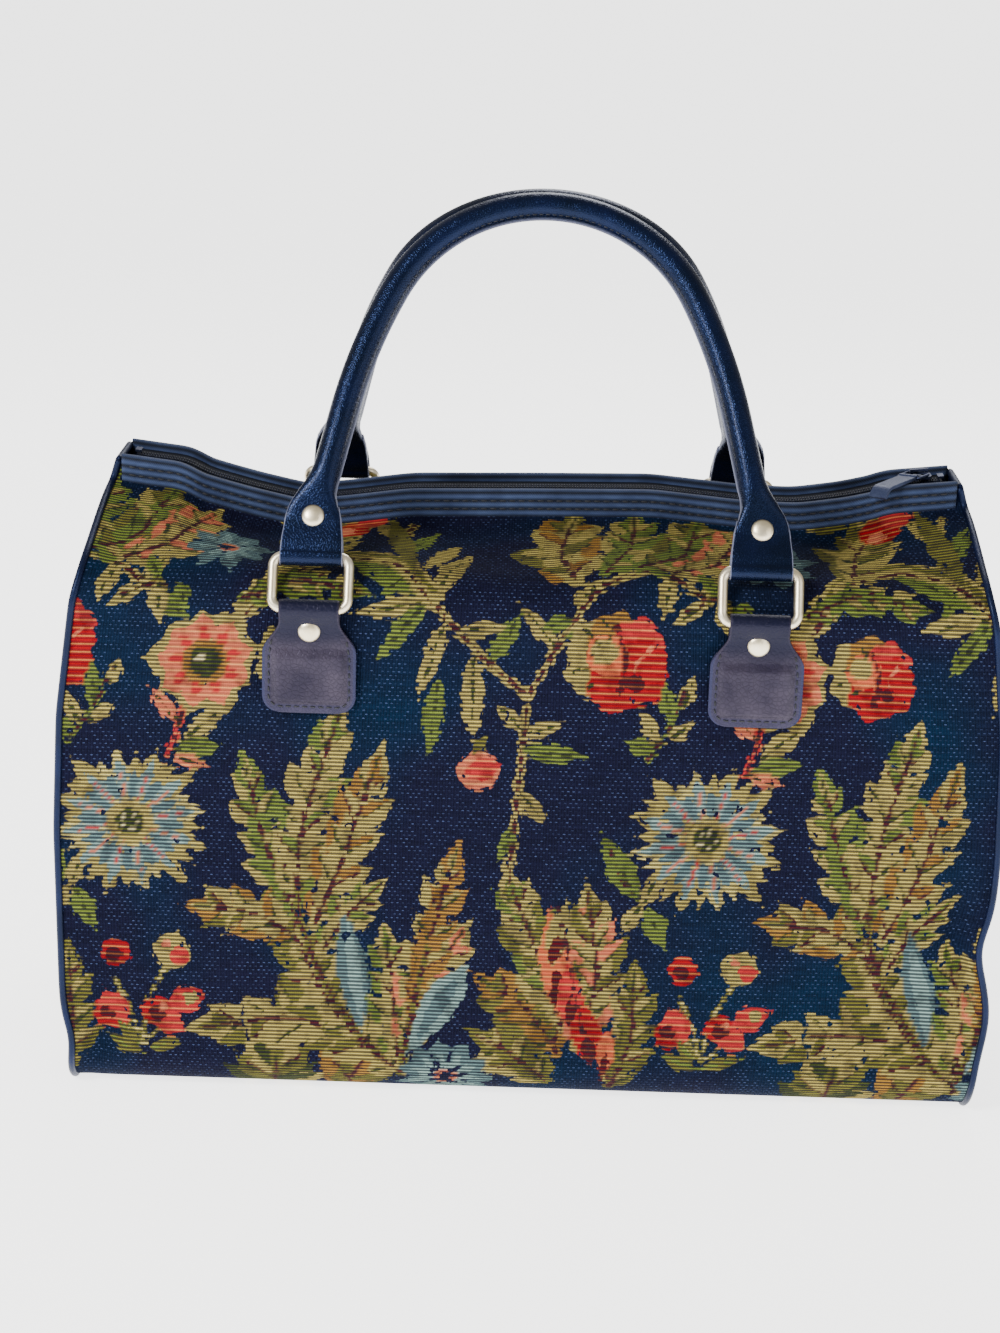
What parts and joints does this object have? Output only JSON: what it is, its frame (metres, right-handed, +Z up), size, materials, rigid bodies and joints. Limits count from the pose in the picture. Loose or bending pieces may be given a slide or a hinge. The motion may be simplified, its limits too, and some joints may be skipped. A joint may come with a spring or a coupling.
{
  "type": "carpet bag",
  "caption": "Zip-top carpet bag in floral tapestry cloth, with a stiff base and rolled leather handles that swing on metal rings.",
  "frame": {"origin": "middle of the base, on the surface that the bag stands on", "axes": "+Z up, -Y out of the front, +X to the right as seen from the front, along the zip"},
  "size_m": [0.4646, 0.2066, 0.4457],
  "materials": {
    "tapestry": "ribbed tapestry weave, floral, matt",
    "lining": "thin plain weave",
    "board": "plain stiff board",
    "binding": "woven tape with two rows of stitching",
    "zip_tape": "woven zip tape",
    "zip_coil": "moulded nylon coil",
    "zip_metal": "dark painted",
    "pull_leather": "grained, cut edges pale",
    "piping": "smooth cord piping",
    "leather": "grained, semi-gloss",
    "pale_gold": "satin plated",
    "cord_core": "twisted cord"
  },
  "bodies": {
    "bag": {"body_panel": "tapestry", "end_panel_left": "tapestry", "end_panel_right": "tapestry", "piping_left": "piping", "piping_right": "piping", "lining": "lining", "base_board": "board", "binding_front": "binding", "binding_back": "binding", "zip_tape_front": "zip_tape", "zip_tape_back": "zip_tape", "zip_coil_front": "zip_coil", "zip_coil_back": "zip_coil", "zip_stops": "zip_metal", "tab_front_left": "leather", "tab_front_right": "leather", "tab_back_left": "leather", "tab_back_right": "leather", "tab_rivets": "pale_gold"},
    "slider": {"zip_slider": "zip_metal"},
    "pull": {"zip_pull_link": "zip_metal", "zip_pull": "pull_leather"},
    "ring_front_left": {"ring_front_left": "pale_gold"},
    "ring_front_right": {"ring_front_right": "pale_gold"},
    "handle_front": {"handle_front": "leather", "handle_core_front": "cord_core", "handle_rivets_front": "pale_gold"},
    "ring_back_left": {"ring_back_left": "pale_gold"},
    "ring_back_right": {"ring_back_right": "pale_gold"},
    "handle_back": {"handle_back": "leather", "handle_core_back": "cord_core", "handle_rivets_back": "pale_gold"}
  },
  "joints": [
    {"name": "zip_slide", "type": "hinge", "parent": "bag", "child": "slider", "pos_m": [0, 0, 2.03212], "axis": [0, 1, 0], "range_deg": [0, 12.7]},
    {"name": "pull_lift", "type": "hinge", "parent": "slider", "child": "pull", "pos_m": [0.19168, 0, 0.31049], "axis": [-0.7386, 0.6691, -0.0822], "range_deg": [0, 150]},
    {"name": "ring_front_left_swing", "type": "hinge", "parent": "bag", "child": "ring_front_left", "pos_m": [-0.10705, -0.09881, 0.25809], "axis": [1, 0, 0], "range_deg": [0, 110]},
    {"name": "ring_front_right_swing", "type": "hinge", "parent": "bag", "child": "ring_front_right", "pos_m": [0.10705, -0.09881, 0.25809], "axis": [1, 0, 0], "range_deg": [0, 110]},
    {"name": "handle_front_swing", "type": "hinge", "parent": "ring_front_left", "child": "handle_front", "pos_m": [-0.10705, -0.08816, 0.28093], "axis": [1, 0, 0], "range_deg": [0, 80]},
    {"name": "ring_back_left_swing", "type": "hinge", "parent": "bag", "child": "ring_back_left", "pos_m": [-0.10705, 0.09881, 0.25809], "axis": [-1, 0, 0], "range_deg": [0, 110]},
    {"name": "ring_back_right_swing", "type": "hinge", "parent": "bag", "child": "ring_back_right", "pos_m": [0.10705, 0.09881, 0.25809], "axis": [-1, 0, 0], "range_deg": [0, 110]},
    {"name": "handle_back_swing", "type": "hinge", "parent": "ring_back_left", "child": "handle_back", "pos_m": [-0.10705, 0.08816, 0.28093], "axis": [-1, 0, 0], "range_deg": [0, 80]}
  ],
  "couplings": [
    {"joint": "ring_front_right_swing", "follows": "ring_front_left_swing", "ratio": 1},
    {"joint": "ring_back_right_swing", "follows": "ring_back_left_swing", "ratio": 1}
  ]
}
